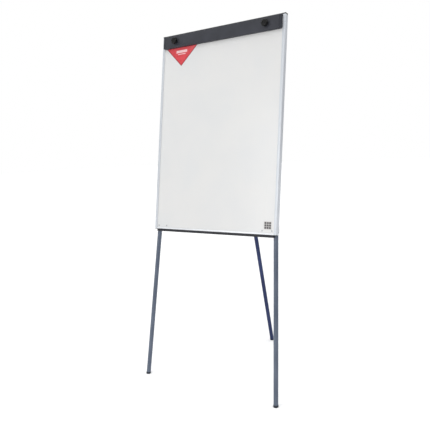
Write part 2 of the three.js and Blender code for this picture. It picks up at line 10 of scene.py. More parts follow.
import bmesh
import bpy
from mathutils import Matrix, Vector


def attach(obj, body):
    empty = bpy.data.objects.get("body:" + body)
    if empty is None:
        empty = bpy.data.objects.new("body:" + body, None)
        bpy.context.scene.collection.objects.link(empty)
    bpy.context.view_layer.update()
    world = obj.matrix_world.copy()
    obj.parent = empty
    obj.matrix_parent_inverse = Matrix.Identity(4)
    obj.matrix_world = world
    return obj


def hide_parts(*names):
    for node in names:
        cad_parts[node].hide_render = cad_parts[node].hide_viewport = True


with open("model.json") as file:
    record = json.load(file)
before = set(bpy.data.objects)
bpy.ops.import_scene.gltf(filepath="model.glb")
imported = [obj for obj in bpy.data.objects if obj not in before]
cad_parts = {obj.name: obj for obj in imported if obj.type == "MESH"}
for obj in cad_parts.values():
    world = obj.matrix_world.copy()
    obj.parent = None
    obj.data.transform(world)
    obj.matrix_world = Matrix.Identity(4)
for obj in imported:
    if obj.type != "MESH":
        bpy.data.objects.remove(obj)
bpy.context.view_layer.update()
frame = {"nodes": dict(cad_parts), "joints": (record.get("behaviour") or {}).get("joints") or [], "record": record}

MM = 0.001
RECORD = frame["record"]
JOINTS = {joint["name"]: joint for joint in frame["joints"]}
MOUNTS = {mount["name"]: mount for mount in RECORD["mounts"]}
BODY_OF = {node: body for body, nodes in RECORD["behaviour"]["bodies"].items() for node in nodes}
SLOT_OF = {part["node"]: part["material_slot"] for part in RECORD["subparts"]}
SIDES = (("left", -1), ("right", 1))

# ---- Driving dimensions, in millimetres ----
# They are the CAD's, but for finer details: bends, corners, grooves and the top caps' skirt. Fillets and
# small steps stand in the outlines they belong to.
GAP = 0.3

# Board
HALF_WIDTH = 350
BOARD_HEIGHT = 1000
BOARD_RAISE = 765
BEZEL = 15
INNER_HALF = HALF_WIDTH - BEZEL
FRAME_DEPTH = 22
WALL = 1.5
BEZEL_CORNER = 2.6
SIDE_LIP = 3
SHEET_FRONT = WALL + GAP
LIP_FRONT = 9.8
LIP_BACK = LIP_FRONT + WALL
END_CAP = 1.7
TOP_CAP_SKIRT = 5  # the moulded top cap reaches this far down over the frame's end
BOTTOM_LIP = 8
BOTTOM_BACK_LIP = 24
RAIL_SETBACK = 1
RAIL_DROP = 12.5
TOP_RAIL_DEPTH = 20
TOP_RAIL_LIP = 15
TOP_RAIL_BACK = 60
RIVET_HEIGHT = 17
RIVET_INSETS = (("outer", 26), ("inner", 75))
RIVET_RADIUS = 4
RIVET_SHANK = 2.2
RIVET_HOLE = 2.6

# Paper clamp
CLAMP_TOP = BOARD_HEIGHT - 9
CLAMP_BOTTOM = CLAMP_TOP - 62
CLAMP_FRONT = -14
CLAMP_BACK = 0.9
CLAMP_CAP = 10
CLAMP_CAP_TOP_CORNER = 2
CLAMP_CAP_LOW_CORNER = 6
CLAMP_BEND = 3.2
CLAMP_INNER_BEND = 1.7
CLAMP_HALF = INNER_HALF - 2 * GAP
KNOB_SPREAD = 257.5
KNOB_HEIGHT = (CLAMP_TOP + CLAMP_BOTTOM) / 2
KNOB_RADIUS = 17
KNOB_LENGTH = 18
KNOB_COLLAR = 4
KNOB_LOBES = 8
KNOB_LOBE_DEPTH = 2.6
KNOB_BORE = 4.3
KNOB_CROWN = 3
KNOB_SIDES = 12 * KNOB_LOBES
STUD_HOLE = 4.4
WASHER_RADIUS = 10
WASHER_THICKNESS = 1.6

# Stickers
STICKER_CENTRE = -226
STICKER_HALF = 102
STICKER_TOP = CLAMP_BOTTOM + 7
STICKER_THICKNESS = 0.3
STICKER_CORNER = 1.5
STICKER_EDGE = 0.08
LABEL_CENTRE = (303, 42)
LABEL_SIZE = (42, 38)
LABEL_CORNER = 2

# Front legs
LEG_RADIUS = 11
TUBE_WALL = 1.2
LEG_INSET = 15
LEG_DEPTH = 25
FOOT_OUTSET = 20
LEG_HIDDEN = 440
SPLAY = math.atan((LEG_INSET + FOOT_OUTSET) / BOARD_RAISE)
LEG_VISIBLE = BOARD_RAISE / math.cos(SPLAY)
TUBE_LIFT = 8
PLUG_LENGTH = 16
PLUG_CAP = 3
FOOT_RADIUS = 12
FOOT_SHANK = 22
FOOT_SPARE = 10  # material below the floor, before the base is trimmed flat
SHANK_RIBS = 3
SHANK_GROOVE = 0.8
LOWER_GUIDE = (8, 58)
UPPER_GUIDE = (320, 350)
GUIDE_BACK = 14
GUIDE_OUTER = 13.2
GUIDE_INNER = 24
GUIDE_CORNER = 11
LOCK_GRIP_RADIUS = 13
LOCK_GRIP_LENGTH = 12
LOCK_GRIP_LOBES = 5
LOCK_GRIP_LOBE_DEPTH = 4
LOCK_SEAT = 24
LOCK_GRIP_SIDES = 18 * LOCK_GRIP_LOBES
LOCK_BORE_DEPTH = 8
SCREW_BORE = 3.3

# Rear leg
PIVOT_HEIGHT = 955
PIVOT_DEPTH = 45
REAR_RADIUS = 12.7
REAR_START = 26
REAR_LENGTH = 870
REAR_INNER_START = 700
BRACKET_SHEET = 2
BRACKET_OUTER = 20
BRACKET_FLANGE = 34
BRACKET_HEIGHT = 44
BRACKET_BACK = PIVOT_DEPTH + 11
EAR_CORNER = 17
BRACKET_RIVET_SPREAD = 27
PIN_RADIUS = 4
PIN_HEAD = 6.5
PIN_HOLE = 4.4
CLIP_RADIUS = 7
CLIP_THICKNESS = 1.5
HEAD_HALF = 15
EYE_RADIUS = 12
HEEL = (2, 10)
SPIGOT = 30
COLLAR_RADIUS = 17
COLLAR_LENGTH = 48
COLLAR_OVERHANG = 18
COLLAR_RING = 4
BOSS_HALF = 8
BOSS_START = 12

# Fineness of the meshes
ROUND = 72
PIN_ROUND = 48
SMALL_ROUND = 40
HOLE_ROUND = 24
ARC_STEPS = 5
EDGE_STEPS = 2
ON_AXIS = 1e-6
SMOOTH_ANGLE = math.radians(32)
WELD_DISTANCE = 0.002
FLAT_DISTANCE = 0.001


# ---- Frames of reference ----
def axes_frame(x_axis, y_axis, z_axis, origin):
    """Matrix from a local frame in millimetres to the row frame in metres."""
    turn = Matrix((x_axis, y_axis, z_axis)).transposed().to_4x4()
    return Matrix.Translation(origin) @ turn @ Matrix.Scale(MM, 4)


RIGHT = Vector((1, 0, 0))
FRONT = Vector(JOINTS["clamp_slide"]["axis"]).normalized()
BACK = -FRONT
UP_BOARD = RIGHT.cross(BACK)
KNOB_AT = Vector(JOINTS["knob_left_turn"]["pos_m"])
BOARD_ORIGIN = KNOB_AT + RIGHT * KNOB_SPREAD * MM - UP_BOARD * KNOB_HEIGHT * MM
BOARD = axes_frame(RIGHT, BACK, UP_BOARD, BOARD_ORIGIN)


def leg_frame(sign):
    """Origin where the leg's axis crosses the board's lower edge, -Z down the leg."""
    return BOARD @ Matrix.Translation((sign * (HALF_WIDTH - LEG_INSET), LEG_DEPTH, 0)) @ Matrix.Rotation(
        -sign * SPLAY, 4, "Y"
    )


REAR_DOWN = Vector(JOINTS["rear_extension_slide"]["axis"]).normalized()
REAR_PIVOT = Vector(JOINTS["rear_leg_fold"]["pos_m"])
REAR = axes_frame(RIGHT, (-REAR_DOWN).cross(RIGHT), -REAR_DOWN, REAR_PIVOT)
REAR_REACH = (Vector(MOUNTS["foot_rear_base"]["pos_m"]) - REAR_PIVOT).length / MM
REAR_TURN = math.atan2(REAR_DOWN.dot(BACK), -REAR_DOWN.dot(UP_BOARD))

# Turns a plate's (x, y, z) into (y, z, x)
ALONG_X = Matrix(((0, 0, 1, 0), (1, 0, 0, 0), (0, 1, 0, 0), (0, 0, 0, 1)))
OUT_OF_FRONT = Matrix.Rotation(math.pi / 2, 4, "X")  # +Z points out of the writing face
OUT_OF_BACK = Matrix.Rotation(-math.pi / 2, 4, "X")
ALONG_PIN = Matrix.Rotation(math.pi / 2, 4, "Y")  # +Z points to the easel's right


def at(x, depth, height):
    return Matrix.Translation((x, depth, height))


PIN_PLACE = at(0, PIVOT_DEPTH, PIVOT_HEIGHT) @ ALONG_PIN


# ---- Materials ----
def linear(red, green, blue):
    """Linear colour of a screen colour given as 0 to 255."""
    channels = [c / 255 for c in (red, green, blue)]
    return tuple(c / 12.92 if c <= 0.04045 else ((c + 0.055) / 1.055) ** 2.4 for c in channels) + (1.0,)


class Finish:
    """A Principled material under construction, with its texture coordinates in object space (metres)."""

    def __init__(self, name, roughness, metallic=0.0, **constants):
        self.material = bpy.data.materials.new(name)
        self.material.use_nodes = True
        self.tree = self.material.node_tree
        self.shader = self.tree.nodes["Principled BSDF"]
        self.shader.inputs["Roughness"].default_value = roughness
        self.shader.inputs["Metallic"].default_value = metallic
        for socket, value in constants.items():
            self.shader.inputs[socket.replace("_", " ")].default_value = value
        self.coords = self.node("TexCoord").outputs["Object"]

    def node(self, kind, **settings):
        made = self.tree.nodes.new("ShaderNode" + kind)
        for key, value in settings.items():
            setattr(made, key, value)
        return made

    def wire(self, source, target):
        self.tree.links.new(source, target)

    def put(self, value, target):
        """Links a socket to the target, or sets the target to a constant."""
        if isinstance(value, bpy.types.NodeSocket):
            self.wire(value, target)
        else:
            target.default_value = value

    def stretched(self, scale):
        """Object coordinates scaled per axis: a texture is drawn out along the axes with a low scale."""
        mapping = self.node("Mapping")
        mapping.inputs["Scale"].default_value = scale
        self.wire(self.coords, mapping.inputs["Vector"])
        return mapping.outputs["Vector"]

    def noise(self, scale, stretch=(1, 1, 1), detail=3.0, roughness=0.5):
        made = self.node("TexNoise")
        made.inputs["Scale"].default_value = scale
        made.inputs["Detail"].default_value = detail
        made.inputs["Roughness"].default_value = roughness
        self.wire(self.stretched(stretch), made.inputs["Vector"])
        return made.outputs["Fac"]

    def cells(self, scale, stretch=(1, 1, 1)):
        made = self.node("TexVoronoi")
        made.inputs["Scale"].default_value = scale
        self.wire(self.stretched(stretch), made.inputs["Vector"])
        return made

    def math(self, operation, first, second=0.0):
        made = self.node("Math", operation=operation)
        self.put(first, made.inputs[0])
        self.put(second, made.inputs[1])
        return made.outputs[0]

    def span(self, value, low, high, to_low=0.0, to_high=1.0):
        """Value mapped smoothly from one range to another, and held at its ends."""
        made = self.node("MapRange", interpolation_type="SMOOTHSTEP")
        for index, entry in enumerate((value, low, high, to_low, to_high)):
            self.put(entry, made.inputs[index])
        return made.outputs[0]

    def mix(self, factor, low, high):
        made = self.node("Mix", data_type="RGBA")
        self.put(factor, made.inputs[0])
        self.put(low, made.inputs[6])
        self.put(high, made.inputs[7])
        return made.outputs[2]

    def place(self):
        """X, Y and Z of the object coordinates."""
        made = self.node("SeparateXYZ")
        self.wire(self.coords, made.inputs[0])
        return made.outputs

    def colour(self, value):
        self.put(value, self.shader.inputs["Base Color"])

    def roughness(self, value):
        self.put(value, self.shader.inputs["Roughness"])

    def bump(self, height, strength, distance):
        made = self.node("Bump")
        made.inputs["Strength"].default_value = strength
        made.inputs["Distance"].default_value = distance
        self.wire(height, made.inputs["Height"])
        self.wire(made.outputs["Normal"], self.shader.inputs["Normal"])


def enamel():
    """Smooth white enamel: a fine orange peel and faint upright wiping marks."""
    finish = Finish("white_enamel", 0.3, Coat_Weight=0.15, Coat_Roughness=0.2)
    clouds = finish.noise(5, detail=5)
    wipes = finish.noise(9, stretch=(1, 1, 0.22), detail=4)
    base = finish.mix(finish.span(clouds, 0.35, 0.7), linear(213, 213, 212), linear(210, 211, 211))
    finish.colour(finish.mix(finish.span(wipes, 0.4, 0.9, 0, 0.3), base, linear(207, 208, 210)))
    finish.roughness(finish.span(wipes, 0.3, 0.75, 0.3, 0.36))
    finish.bump(finish.noise(700, detail=1), 0.04, 0.0004)
    return finish.material


def brushed(name, light, dark, stretch, roughness, metallic):
    """Metal with fine lines drawn out along the axis whose stretch is low."""
    finish = Finish(name, roughness, metallic, Anisotropic=0.35)
    lines = finish.noise(1, stretch=stretch, detail=5, roughness=0.65)
    clouds = finish.noise(14, detail=4)
    base = finish.mix(finish.span(lines, 0.3, 0.7), light, dark)
    finish.colour(finish.mix(finish.span(clouds, 0.45, 0.8, 0, 0.35), base, dark))
    finish.roughness(finish.span(lines, 0.25, 0.75, roughness - 0.07, roughness + 0.1))
    finish.bump(lines, 0.12, 0.0002)
    return finish.material


def frame_aluminium():
    light, dark = linear(201, 205, 210), linear(190, 195, 201)
    return brushed("anodised_aluminium", light, dark, (900, 900, 9), roughness=0.4, metallic=0.3)


def lit_cross_aluminium():
    # The side frame's anodised aluminium in a lighter copy: painted light on the bottom profile's front lip.
    light, dark = linear(229, 231, 234), linear(219, 222, 226)
    return brushed("lit_anodised_aluminium_cross", light, dark, (9, 900, 900), roughness=0.4, metallic=0.3)


def zinc_steel():
    """Bright zinc plating with the soft spangle of passivated steel."""
    finish = Finish("zinc_plated_steel", 0.35, 0.9)
    spangle = finish.cells(160)
    grains = finish.span(spangle.outputs["Distance"], 0.1, 0.7)
    base = finish.mix(grains, linear(196, 198, 200), linear(176, 179, 182))
    finish.colour(finish.mix(finish.span(finish.noise(30), 0.5, 0.8, 0, 0.4), base, linear(186, 182, 168)))
    finish.roughness(finish.span(finish.noise(60, detail=4), 0.3, 0.7, 0.26, 0.46))
    finish.bump(finish.noise(900), 0.06, 0.0002)
    return finish.material


def back_sheet_steel():
    """Galvanised sheet: fine spangles and faint rolling lines."""
    finish = Finish("galvanised_sheet", 0.42, 0.75)
    spangle = finish.cells(150, stretch=(1, 1, 0.7))
    rolling = finish.noise(1, stretch=(420, 420, 5), detail=3)
    grains = spangle.outputs["Color"]
    base = finish.mix(finish.span(grains, 0.1, 0.8), linear(184, 187, 190), linear(174, 178, 181))
    finish.colour(finish.mix(finish.span(rolling, 0.4, 0.8, 0, 0.3), base, linear(160, 164, 169)))
    finish.roughness(finish.span(grains, 0.0, 0.8, 0.36, 0.52))
    finish.bump(rolling, 0.1, 0.0003)
    return finish.material


def fibreboard():
    """Pressed fibres, seen only at the core's edges."""
    finish = Finish("pressed_fibreboard", 0.9)
    fibres = finish.noise(500, stretch=(1, 1, 0.2), detail=6)
    finish.colour(finish.mix(fibres, linear(176, 146, 104), linear(128, 100, 66)))
    finish.bump(fibres, 0.5, 0.0006)
    return finish.material


def powder_coat(name, dark, light, rubbed):
    """Powder coat: a fine grain, slightly lighter where it is rubbed along its length."""
    finish = Finish(name, 0.5, 0.1, Specular_IOR_Level=0.4)
    grain = finish.noise(1500, detail=2)
    clouds = finish.noise(11, detail=5)
    base = finish.mix(finish.span(clouds, 0.35, 0.7), dark, light)
    rubs = finish.span(finish.noise(1, stretch=(16, 260, 260), detail=5), 0.66, 0.82, 0, 0.35)
    finish.colour(finish.mix(rubs, base, rubbed))
    finish.roughness(finish.span(grain, 0.3, 0.7, 0.44, 0.6))
    finish.bump(grain, 0.22, 0.0002)
    return finish.material


def graphite_coat():
    return powder_coat("graphite_powder_coat", linear(44, 46, 53), linear(51, 53, 61), linear(77, 79, 88))


def black_coat():
    # The graphite coat painted darker for the rails: painted shade for the shaded underside below the lower edge
    # and the dark line along the top.
    return powder_coat("shade_darkened_powder_coat", linear(28, 29, 34), linear(36, 37, 43), linear(66, 68, 76))


def moulded_plastic(name, dark, light, roughness, grain_scale, grain_strength):
    """Moulded plastic with spark-eroded grain and handling marks."""
    finish = Finish(name, roughness, Specular_IOR_Level=0.25)
    grain = finish.noise(grain_scale, detail=2)
    marks = finish.noise(60, stretch=(1, 1, 1.8), detail=6, roughness=0.6)
    finish.colour(finish.mix(finish.span(marks, 0.45, 0.75), dark, light))
    finish.roughness(finish.span(marks, 0.3, 0.75, roughness - 0.08, roughness + 0.12))
    finish.bump(grain, grain_strength, 0.0002)
    return finish.material


def black_plastic():
    return moulded_plastic("black_plastic", linear(8, 8, 9), linear(17, 17, 19), 0.46, 1900, 0.25)


def cap_plastic():
    return moulded_plastic("cap_plastic", linear(45, 47, 54), linear(53, 55, 63), 0.54, 1600, 0.3)


def foot_rubber():
    return moulded_plastic("foot_rubber", linear(50, 54, 62), linear(66, 70, 79), 0.72, 900, 0.5)


def tube_paint(name, dark, light, scuff):
    """Tube enamel: a fine flake and faint lengthwise rub marks from sliding."""
    finish = Finish(name, 0.36, 0.15, Specular_IOR_Level=0.3)
    flake = finish.cells(2600)
    cloud = finish.noise(20, stretch=(1, 1, 0.35), detail=5)
    base = finish.mix(finish.span(cloud, 0.3, 0.72), dark, light)
    flaked = finish.mix(finish.span(flake.outputs["Distance"], 0.0, 0.5, 0.25, 0.0), base, light)
    rubs = finish.noise(1, stretch=(700, 700, 6), detail=4, roughness=0.6)
    finish.colour(finish.mix(finish.span(rubs, 0.62, 0.78, 0, 0.4), flaked, scuff))
    finish.roughness(finish.span(rubs, 0.35, 0.75, 0.28, 0.48))
    finish.bump(finish.noise(800, detail=2), 0.08, 0.0002)
    return finish.material


def front_leg_paint():
    return tube_paint("blue_grey_tube", linear(82, 91, 107), linear(101, 110, 125), linear(138, 145, 156))


def rear_leg_paint():
    # The front legs' paint in a darker, bluer copy: painted shade on the rear leg.
    return tube_paint("shaded_navy_tube", linear(30, 41, 80), linear(43, 56, 98), linear(76, 88, 124))


def red_vinyl():
    """Triangular sticker: red film, a darker border along its two slanting sides and two plain pale bars."""
    border = 0.0035
    bar = (-0.034, -0.021, 0.034)  # lower side, upper side, half length
    line = (-0.043, -0.039, 0.024)
    finish = Finish("red_vinyl", 0.32, Coat_Weight=0.4, Coat_Roughness=0.12)
    x, _, z = finish.place()
    across = finish.math("ABSOLUTE", x)
    spare = finish.math("SUBTRACT", STICKER_HALF * MM, finish.math("SUBTRACT", across, z))
    edge = finish.math("LESS_THAN", spare, border * math.sqrt(2))
    clouds = finish.span(finish.noise(40, detail=4), 0.3, 0.7)
    film = finish.mix(clouds, linear(206, 62, 70), linear(196, 54, 62))
    printed = finish.mix(edge, film, linear(140, 40, 48))

    def band(low, high, half):
        """1 between two heights and within half a length of the middle, 0 elsewhere."""
        above, below = finish.math("GREATER_THAN", z, low), finish.math("LESS_THAN", z, high)
        inside = finish.math("MULTIPLY", above, below)
        return finish.math("MULTIPLY", inside, finish.math("LESS_THAN", across, half))

    marks = finish.math("MAXIMUM", band(*bar), band(*line))
    finish.colour(finish.mix(finish.math("MULTIPLY", marks, 0.75), printed, linear(238, 214, 214)))
    finish.roughness(finish.span(finish.noise(90), 0.3, 0.7, 0.26, 0.4))
    finish.bump(finish.noise(300, detail=2), 0.08, 0.0003)
    return finish.material


def grey_vinyl():
    """Square label: a plain grid of dark grey squares inside a pale border."""
    border, pitch, line = 0.0035, 0.0117, 0.0018
    finish = Finish("grey_vinyl", 0.42)
    x, _, z = finish.place()
    across, along = finish.math("ABSOLUTE", x), finish.math("ABSOLUTE", z)
    half_width, half_height = (size / 2 * MM for size in LABEL_SIZE)
    past_side = finish.math("GREATER_THAN", across, half_width - border)
    past_end = finish.math("GREATER_THAN", along, half_height - border)
    outside = finish.math("MAXIMUM", past_side, past_end)
    between = []
    for value in (across, along):
        to_line = finish.math("PINGPONG", finish.math("ADD", value, pitch / 2), pitch / 2)
        between.append(finish.math("LESS_THAN", to_line, line / 2))
    pale = finish.math("MAXIMUM", outside, finish.math("MAXIMUM", *between))
    squares = finish.mix(finish.noise(90, detail=3), linear(58, 55, 57), linear(88, 84, 83))
    finish.colour(finish.mix(pale, squares, linear(206, 205, 203)))
    finish.roughness(finish.span(finish.noise(120), 0.3, 0.7, 0.36, 0.5))
    finish.bump(finish.noise(500, detail=2), 0.08, 0.0002)
    return finish.material


FINISHES = {
    "enamel": enamel(),
    "core_board": fibreboard(),
    "zinc_steel": zinc_steel(),
    "frame_aluminium": frame_aluminium(),
    "graphite_coat": graphite_coat(),
    "black_coat": black_coat(),
    "cap_plastic": cap_plastic(),
    "black_plastic": black_plastic(),
    "front_leg_paint": front_leg_paint(),
    "rear_leg_paint": rear_leg_paint(),
    "foot_rubber": foot_rubber(),
    "red_vinyl": red_vinyl(),
    "grey_vinyl": grey_vinyl(),
}
SPECIAL_FINISHES = {
    "back_sheet": back_sheet_steel(),
    # The bottom profile takes a lighter copy of the frame aluminium: painted light.
    "bottom_profile": lit_cross_aluminium(),
}


# ---- Outlines ----
def rounded(corners, closed=True):
    """Outline points of (x, y, radius) corners, each turned into an arc of that radius."""
    points = []
    count = len(corners)
    for index, (x, y, radius) in enumerate(corners):
        here = Vector((x, y))
        at_end = not closed and index in (0, count - 1)
        if radius == 0 or at_end:
            points.append(here)
            continue
        to_last = (Vector(corners[index - 1][:2]) - here).normalized()
        to_next = (Vector(corners[(index + 1) % count][:2]) - here).normalized()
        half = to_last.angle(to_next) / 2
        centre = here + (to_last + to_next).normalized() * (radius / math.sin(half))
        start = here + to_last * (radius / math.tan(half)) - centre
        sweep = math.pi - 2 * half
        if to_last.x * to_next.y - to_last.y * to_next.x > 0:
            sweep = -sweep
        for step in range(ARC_STEPS + 1):
            angle = sweep * step / ARC_STEPS
            turn = Vector((
                start.x * math.cos(angle) - start.y * math.sin(angle),
                start.x * math.sin(angle) + start.y * math.cos(angle),
            ))
            points.append(centre + turn)
    return points


def circle(radius, sides=ROUND):
    """Points round a circle."""
    angles = [2 * math.pi * i / sides for i in range(sides)]
    return [Vector((radius * math.cos(angle), radius * math.sin(angle))) for angle in angles]


def counter_clockwise(points, wanted=True):
    pairs = zip(points, points[1:] + points[:1])
    area = sum(a.x * b.y - b.x * a.y for a, b in pairs)
    return points if (area > 0) == wanted else points[::-1]


# ---- Meshes, in millimetres ----
def clean(mesh):
    """Joins doubled points and turns the faces outwards."""
    work = bmesh.new()
    work.from_mesh(mesh)
    bmesh.ops.remove_doubles(work, verts=work.verts, dist=WELD_DISTANCE)
    bmesh.ops.dissolve_degenerate(work, edges=work.edges, dist=FLAT_DISTANCE)
    bmesh.ops.recalc_face_normals(work, faces=work.faces)
    work.to_mesh(mesh)
    work.free()
    return mesh


def plate(outline, low, high, holes=(), edge=0.3):
    """Plate of an outline in the XY plane between two heights, with all its edges rounded over."""
    curve = bpy.data.curves.new("outline", "CURVE")
    curve.dimensions = "2D"
    curve.fill_mode = "BOTH"
    curve.extrude = (high - low) / 2 - edge
    curve.bevel_depth = edge
    curve.bevel_resolution = EDGE_STEPS
    curve.offset = -edge
    loops = [counter_clockwise(outline)] + [counter_clockwise(hole, wanted=False) for hole in holes]
    for loop in loops:
        spline = curve.splines.new("POLY")
        spline.points.add(len(loop) - 1)
        for point, place in zip(spline.points, loop):
            point.co = (place.x, place.y, 0, 1)
        spline.use_cyclic_u = True
    carrier = bpy.data.objects.new("outline", curve)
    bpy.context.scene.collection.objects.link(carrier)
    mesh = bpy.data.meshes.new_from_object(carrier.evaluated_get(bpy.context.evaluated_depsgraph_get()))
    bpy.data.objects.remove(carrier)
    mesh.transform(Matrix.Translation((0, 0, (low + high) / 2)))
    return clean(mesh)


def along_x(outline, start, end, edge=0.3):
    """Bar of an outline given as (depth, height) points, running along X."""
    mesh = plate(outline, min(start, end), max(start, end), edge=edge)
    mesh.transform(ALONG_X)
    return mesh


def turned(profile, sides=ROUND, lobes=0):
    """Turned piece about Z from (radius, height) or (radius, height, lobe depth) points. A profile
    either starts and ends on the axis or closes on itself."""
    verts, faces, rings = [], [], []
    for entry in profile:
        radius, height = entry[0], entry[1]
        lobe_depth = entry[2] if len(entry) > 2 else 0
        if radius < ON_AXIS:
            rings.append([len(verts)])
            verts.append((0, 0, height))
            continue
        rings.append(list(range(len(verts), len(verts) + sides)))
        for i in range(sides):
            angle = 2 * math.pi * i / sides
            reach = radius - lobe_depth / 2 * (1 - math.cos(lobes * angle))
            verts.append((reach * math.cos(angle), reach * math.sin(angle), height))
    closed = len(rings[0]) > 1
    for index in range(len(rings) if closed else len(rings) - 1):
        lower, upper = rings[index], rings[(index + 1) % len(rings)]
        for i in range(sides):
            after = i + 1
            corners = [lower[i % len(lower)], lower[after % len(lower)]]
            corners += [upper[after % len(upper)], upper[i % len(upper)]]
            face = list(dict.fromkeys(corners))
            if len(face) > 2:
                faces.append(face)
    mesh = bpy.data.meshes.new("turned")
    mesh.from_pydata(verts, [], faces)
    return clean(mesh)


def lathe(corners, sides=ROUND, closed=False):
    """Turned piece from (radius, height, fillet) corners."""
    return turned([(point.x, point.y) for point in rounded(corners, closed)], sides)


def pipe(outer, inner, low, high, edge=0.25):
    """Open tube with rounded ends."""
    profile = [(inner, low, edge), (outer, low, edge), (outer, high, edge), (inner, high, edge)]
    return lathe(profile, closed=True)


def rod(radius, low, high, edge=0.3, sides=ROUND):
    """Round bar along Z."""
    return lathe([(0, low, 0), (radius, low, edge), (radius, high, edge), (0, high, 0)], sides)


def block(low, high, edge):
    """Box between two opposite corners."""
    corners = [(low[0], low[1]), (high[0], low[1]), (high[0], high[1]), (low[0], high[1])]
    outline = rounded([(x, y, edge) for x, y in corners])
    return plate(outline, low[2], high[2], edge=edge)


def moved(mesh, matrix):
    mesh.transform(matrix)
    return mesh


def combine(first, second, operation):
    """Boolean of two meshes: UNION, DIFFERENCE or INTERSECT."""
    body = bpy.data.objects.new("body", first)
    tool = bpy.data.objects.new("tool", second)
    for item in (body, tool):
        bpy.context.scene.collection.objects.link(item)
    modifier = body.modifiers.new("combine", "BOOLEAN")
    modifier.operation = operation
    modifier.solver = "EXACT"
    modifier.object = tool
    bpy.context.view_layer.update()
    made = bpy.data.meshes.new_from_object(body.evaluated_get(bpy.context.evaluated_depsgraph_get()))
    bpy.data.objects.remove(body)
    bpy.data.objects.remove(tool)
    return clean(made)


def carve(mesh, *tools):
    for tool in tools:
        mesh = combine(mesh, tool, "DIFFERENCE")
    return mesh


def finish_of(node):
    return SPECIAL_FINISHES.get(node) or FINISHES[SLOT_OF[node]]


def detail(node, mesh, place):
    """A finished piece that stands for one CAD node, on the node's body and in its slot's finish."""
    for polygon in mesh.polygons:
        polygon.use_smooth = True
    mesh.set_sharp_from_angle(angle=SMOOTH_ANGLE)
    mesh.name = f"detailed_{node}"
    mesh.materials.clear()
    mesh.materials.append(finish_of(node))
    mesh.transform(Matrix.Scale(MM, 4))
    piece = bpy.data.objects.new(f"detailed_{node}", mesh)
    bpy.context.scene.collection.objects.link(piece)
    piece.matrix_world = place @ Matrix.Scale(1 / MM, 4)
    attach(piece, BODY_OF[node])
    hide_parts(node)
    return piece


# ---- Board ----
def add_side_profiles():
    """Extruded side frame: a bezel with a round outer corner, a deep wall and a lip behind the panel."""
    inner, outer = INNER_HALF, HALF_WIDTH
    lip_end = inner + SIDE_LIP
    section = [
        (inner, 0, 0.7), (outer, 0, BEZEL_CORNER),
        (outer, FRAME_DEPTH, 0.6), (outer - WALL, FRAME_DEPTH, 0.6),
        (outer - WALL, LIP_BACK, 0.4), (lip_end, LIP_BACK, 0.6), (lip_end, LIP_FRONT, 0.6),
        (outer - WALL, LIP_FRONT, 0.4), (outer - WALL, WALL, 0.8), (inner, WALL, 0.7),
    ]
    length = BOARD_HEIGHT - TOP_CAP_SKIRT - GAP
    for name, sign in SIDES:
        outline = rounded([(sign * x, depth, radius) for x, depth, radius in section])
        detail(f"side_profile_{name}", plate(outline, 0, length, edge=0.15), BOARD)


def add_end_caps():
    """Moulded caps over the ends of the side frame."""
    for name, sign in SIDES:
        inner, outer = sign * INNER_HALF, sign * HALF_WIDTH
        ends = (
            ("top", FRAME_DEPTH, BOARD_HEIGHT - TOP_CAP_SKIRT, BOARD_HEIGHT),
            ("bottom", LIP_BACK, -GAP - END_CAP, -GAP),
        )
        for end, back, low, high in ends:
            outline = rounded([
                (inner, 0, 0.7), (outer, 0, BEZEL_CORNER), (outer, back, 1.2), (inner, back, 1.2),
            ])
            detail(f"{end}_end_cap_{name}", plate(outline, low, high, edge=0.5), BOARD)


def add_bottom_profile():
    """Bottom frame profile with holes for the corner rivets."""
    half = INNER_HALF - GAP
    section = [
        (0, 0, 0.7), (LIP_BACK, 0, 0.7), (LIP_BACK, BOTTOM_BACK_LIP, 0.6), (LIP_FRONT, BOTTOM_BACK_LIP, 0.6),
        (LIP_FRONT, WALL, 0.5), (WALL, WALL, 0.5), (WALL, BOTTOM_LIP, 0.7), (0, BOTTOM_LIP, 0.7),
    ]
    mesh = along_x(rounded(section), -half, half, edge=0.15)
    for _, sign in SIDES:
        for _, inset in RIVET_INSETS:
            place = at(sign * (HALF_WIDTH - inset), 0, RIVET_HEIGHT) @ OUT_OF_FRONT
            mesh = carve(mesh, moved(rod(RIVET_HOLE, -FRAME_DEPTH, FRAME_DEPTH, sides=HOLE_ROUND), place))
    detail("bottom_profile", mesh, BOARD)


def add_rails():
    """Rail under the lower edge, and the rail that closes the top and its back: graphite-dark steel, painted
    darker still as shade.
    """
    half = INNER_HALF - GAP
    top, front = -GAP, RAIL_SETBACK
    lower = [
        (front, top, 0.6), (front, -RAIL_DROP, 0.6),
        (front + WALL, -RAIL_DROP, 0.6), (front + WALL, top - WALL, 0.5),
        (LIP_BACK - WALL, top - WALL, 0.5), (LIP_BACK - WALL, -RAIL_DROP, 0.6), (LIP_BACK, -RAIL_DROP, 0.6),
        (LIP_BACK, top, 0.6),
    ]
    detail("bottom_rail", along_x(rounded(lower), -half, half, edge=0.2), BOARD)
    high, back = BOARD_HEIGHT, TOP_RAIL_DEPTH
    upper = [
        (0, high, 1.6), (0, high - TOP_RAIL_LIP, 0.6),
        (WALL, high - TOP_RAIL_LIP, 0.6), (WALL, high - WALL, 0.5),
        (back - WALL, high - WALL, 0.8), (back - WALL, high - TOP_RAIL_BACK, 0.6),
        (back, high - TOP_RAIL_BACK, 0.6), (back, high, 2),
    ]
    detail("top_rail", along_x(rounded(upper), -half, half, edge=0.2), BOARD)


